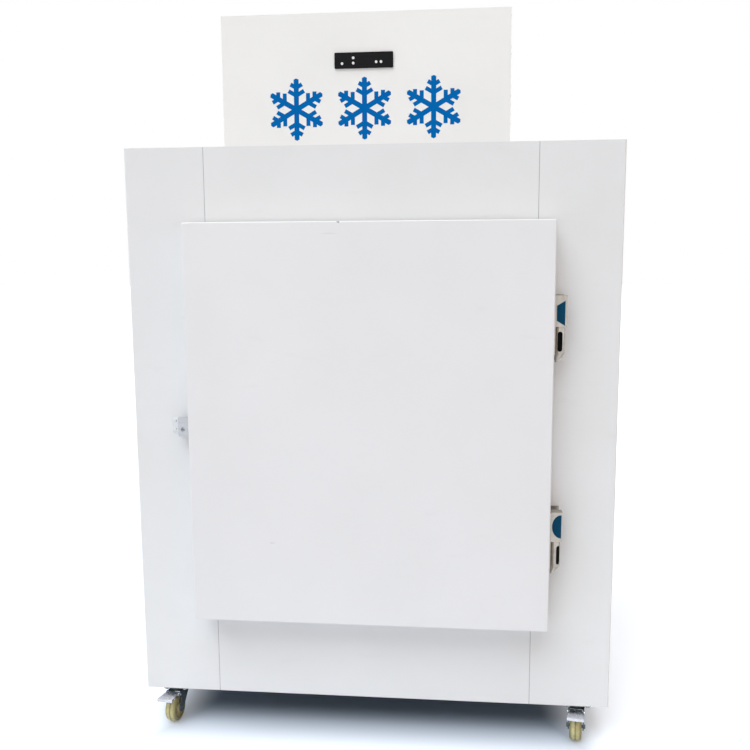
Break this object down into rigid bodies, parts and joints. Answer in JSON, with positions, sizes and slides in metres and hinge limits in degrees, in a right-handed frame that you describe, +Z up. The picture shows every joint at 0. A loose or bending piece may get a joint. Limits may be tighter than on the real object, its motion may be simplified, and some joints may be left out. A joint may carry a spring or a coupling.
{
  "type": "ice merchandiser freezer",
  "caption": "Upright insulated freezer cabinet on swivel casters, with one overlay door on edge hinges and a sign header that hides the condensing unit on its roof.",
  "frame": {"origin": "on the floor, under the middle of the object's box in width and depth", "axes": "+Z up, +X to the right as seen from the front, the door faces -Y"},
  "size_m": [1.27, 0.925, 1.894],
  "materials": {
    "white_paint": "satin",
    "liner_white": "satin",
    "foam": "matte",
    "trim_plastic": "satin",
    "galvanised": "satin",
    "fork_zinc": "satin",
    "hinge_chrome": "satin",
    "black_plastic": "satin",
    "dark_window": "gloss",
    "key_white": "satin",
    "seal_rubber": "matte",
    "fin_aluminium": "satin",
    "coil_dark": "satin",
    "fan_plastic": "satin",
    "black_steel": "satin",
    "box_grey": "satin",
    "copper_tube": "satin",
    "drain_plastic": "satin",
    "rack_metal": "satin",
    "wheel_polyurethane": "satin"
  },
  "bodies": {
    "cabinet": {"insulation": "foam", "left_skin": "white_paint", "right_skin": "white_paint", "rear_skin": "white_paint", "roof_skin": "white_paint", "base_pan": "galvanised", "front_top_skin": "white_paint", "front_bottom_skin": "white_paint", "inner_liner": "liner_white", "opening_trim": "trim_plastic", "floor_rack": "rack_metal", "evaporator_housing": "galvanised", "evaporator_coil": "fin_aluminium", "evaporator_motors": "black_steel", "evaporator_guards": "black_steel", "drain_pan": "galvanised", "drain_tube": "drain_plastic", "header_panel": "white_paint", "header_hood": "white_paint", "rear_guard": "white_paint", "unit_base": "galvanised", "compressor": "black_steel", "condenser_coil": "coil_dark", "fan_shroud": "galvanised", "condenser_motor": "black_steel", "refrigerant_lines": "copper_tube", "electrical_box": "box_grey", "power_gland": "black_plastic", "controller_body": "black_plastic", "display_window": "dark_window", "upper_hinge_base": "hinge_chrome", "lower_hinge_base": "hinge_chrome", "hinge_pins": "hinge_chrome", "hasp_staple": "galvanised", "caster_plates": "galvanised"},
    "door": {"door_skin": "white_paint", "door_core": "foam", "door_liner": "liner_white", "door_seal": "seal_rubber", "door_hasp": "galvanised", "upper_hinge_arm": "hinge_chrome", "lower_hinge_arm": "hinge_chrome"},
    "evaporator_fan_left": {"evaporator_fan_left": "fan_plastic"},
    "evaporator_fan_right": {"evaporator_fan_right": "fan_plastic"},
    "condenser_fan": {"condenser_fan": "fan_plastic"},
    "key_left": {"key_left": "key_white"},
    "key_up": {"key_up": "key_white"},
    "key_down": {"key_down": "key_white"},
    "key_right_inner": {"key_right_inner": "key_white"},
    "key_right_outer": {"key_right_outer": "key_white"},
    "caster_front_left": {"fork_front_left": "fork_zinc"},
    "caster_front_right": {"fork_front_right": "fork_zinc"},
    "caster_rear_left": {"fork_rear_left": "fork_zinc"},
    "caster_rear_right": {"fork_rear_right": "fork_zinc"},
    "wheel_front_left": {"wheel_front_left": "wheel_polyurethane"},
    "wheel_front_right": {"wheel_front_right": "wheel_polyurethane"},
    "wheel_rear_left": {"wheel_rear_left": "wheel_polyurethane"},
    "wheel_rear_right": {"wheel_rear_right": "wheel_polyurethane"},
    "brake_pedal_left": {"brake_pedal_left": "galvanised"},
    "brake_pedal_right": {"brake_pedal_right": "galvanised"}
  },
  "joints": [
    {"name": "door_swing", "type": "hinge", "parent": "cabinet", "child": "door", "pos_m": [0.479, -0.425, 0.864], "axis": [0, 0, 1], "range_deg": [0, 120]},
    {"name": "evaporator_fan_left_spin", "type": "hinge", "parent": "cabinet", "child": "evaporator_fan_left", "pos_m": [-0.175, 0.0445, 1.416], "axis": [0, 1, 0], "continuous": true},
    {"name": "evaporator_fan_right_spin", "type": "hinge", "parent": "cabinet", "child": "evaporator_fan_right", "pos_m": [0.175, 0.0445, 1.416], "axis": [0, 1, 0], "continuous": true},
    {"name": "condenser_fan_spin", "type": "hinge", "parent": "cabinet", "child": "condenser_fan", "pos_m": [-0.038, 0.0865, 1.7235], "axis": [0, 1, 0], "continuous": true},
    {"name": "key_left_press", "type": "slide", "parent": "cabinet", "child": "key_left", "axis": [0, 1, 0], "range_m": [0, 0.0008], "stiffness_N_per_m": 500},
    {"name": "key_up_press", "type": "slide", "parent": "cabinet", "child": "key_up", "axis": [0, 1, 0], "range_m": [0, 0.0008], "stiffness_N_per_m": 500},
    {"name": "key_down_press", "type": "slide", "parent": "cabinet", "child": "key_down", "axis": [0, 1, 0], "range_m": [0, 0.0008], "stiffness_N_per_m": 500},
    {"name": "key_right_inner_press", "type": "slide", "parent": "cabinet", "child": "key_right_inner", "axis": [0, 1, 0], "range_m": [0, 0.0008], "stiffness_N_per_m": 500},
    {"name": "key_right_outer_press", "type": "slide", "parent": "cabinet", "child": "key_right_outer", "axis": [0, 1, 0], "range_m": [0, 0.0008], "stiffness_N_per_m": 500},
    {"name": "caster_front_left_swivel", "type": "hinge", "parent": "cabinet", "child": "caster_front_left", "pos_m": [-0.557, -0.3385, 0.082], "axis": [0, 0, 1], "continuous": true},
    {"name": "wheel_front_left_roll", "type": "hinge", "parent": "caster_front_left", "child": "wheel_front_left", "pos_m": [-0.56041, -0.36629, 0.0375], "axis": [0.9925, -0.1219, 0], "continuous": true},
    {"name": "brake_left_press", "type": "hinge", "parent": "caster_front_left", "child": "brake_pedal_left", "pos_m": [-0.56139, -0.37423, 0.081], "axis": [0.9925, -0.1219, 0], "range_deg": [0, 10]},
    {"name": "caster_front_right_swivel", "type": "hinge", "parent": "cabinet", "child": "caster_front_right", "pos_m": [0.557, -0.3385, 0.082], "axis": [0, 0, 1], "continuous": true},
    {"name": "wheel_front_right_roll", "type": "hinge", "parent": "caster_front_right", "child": "wheel_front_right", "pos_m": [0.55262, -0.36616, 0.0375], "axis": [0.9877, -0.1564, 0], "continuous": true},
    {"name": "brake_right_press", "type": "hinge", "parent": "caster_front_right", "child": "brake_pedal_right", "pos_m": [0.55137, -0.37406, 0.081], "axis": [0.9877, -0.1564, 0], "range_deg": [0, 10]},
    {"name": "caster_rear_left_swivel", "type": "hinge", "parent": "cabinet", "child": "caster_rear_left", "pos_m": [-0.557, 0.4235, 0.082], "axis": [0, 0, 1], "continuous": true},
    {"name": "wheel_rear_left_roll", "type": "hinge", "parent": "caster_rear_left", "child": "wheel_rear_left", "pos_m": [-0.54742, 0.39719, 0.0375], "axis": [0.9397, 0.342, 0], "continuous": true},
    {"name": "caster_rear_right_swivel", "type": "hinge", "parent": "cabinet", "child": "caster_rear_right", "pos_m": [0.557, 0.4235, 0.082], "axis": [0, 0, 1], "continuous": true},
    {"name": "wheel_rear_right_roll", "type": "hinge", "parent": "caster_rear_right", "child": "wheel_rear_right", "pos_m": [0.5531, 0.39577, 0.0375], "axis": [0.9903, -0.1392, 0], "continuous": true}
  ]
}
